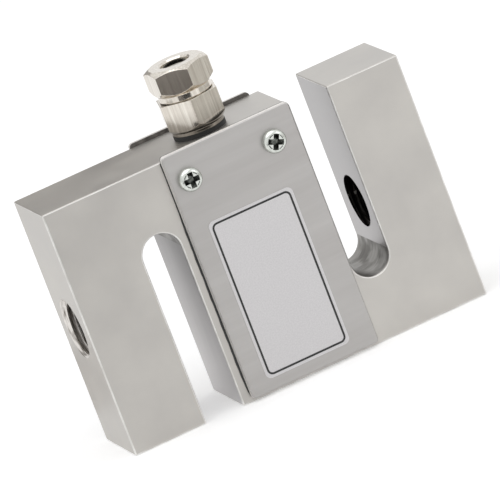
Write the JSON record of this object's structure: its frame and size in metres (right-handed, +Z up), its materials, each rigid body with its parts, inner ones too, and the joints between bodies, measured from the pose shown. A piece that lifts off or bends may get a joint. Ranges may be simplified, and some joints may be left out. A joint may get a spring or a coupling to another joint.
{
  "type": "s type load cell",
  "caption": "S shaped steel load cell: two round-ended slots, a loading thread in each end limb, covered gauge window and a cable gland on top.",
  "frame": {"origin": "middle of the underside of the steel block, between its front and back faces and its two end faces", "axes": "+X along the load from the left limb to the right limb, +Y from the labelled cover to the back, +Z up to the gland"},
  "size_m": [0.0762, 0.0252, 0.0654],
  "materials": {
    "nickel_steel": "satin nickel plate on ground alloy steel",
    "cover_steel": "drawn sheet with soft rolling streaks",
    "nickel_brass": "bright nickel plate on turned brass",
    "screw_steel": "bright zinc plate",
    "label_foil": "matt silver foil, blank, with one dark border line",
    "sealing_film": "black sealant",
    "black_rubber": "moulded",
    "slip_ring_plastic": "moulded",
    "gauge_foil": "amber film under a clear coat",
    "lead_enamel": "enamel",
    "board_laminate": "solder mask",
    "resistor_ceramic": "glazed ceramic chip"
  },
  "bodies": {
    "root": {"sensing_body": "nickel_steel", "front_cover": "cover_steel", "back_cover": "cover_steel", "front_seal": "sealing_film", "back_seal": "sealing_film", "front_screw_left": "screw_steel", "front_screw_right": "screw_steel", "back_screw_left": "screw_steel", "back_screw_right": "screw_steel", "rating_label": "label_foil", "gland_washer": "black_rubber", "gland_bush": "black_rubber", "gland_body": "nickel_brass", "gland_nut": "nickel_brass", "gland_slip_ring": "slip_ring_plastic", "terminal_board": "board_laminate", "balance_resistor": "resistor_ceramic", "span_resistor": "resistor_ceramic", "gauge_left_lower": "gauge_foil", "lead_left_lower": "lead_enamel", "gauge_left_upper": "gauge_foil", "lead_left_upper": "lead_enamel", "gauge_right_lower": "gauge_foil", "lead_right_lower": "lead_enamel", "gauge_right_upper": "gauge_foil", "lead_right_upper": "lead_enamel"}
  },
  "joints": []
}
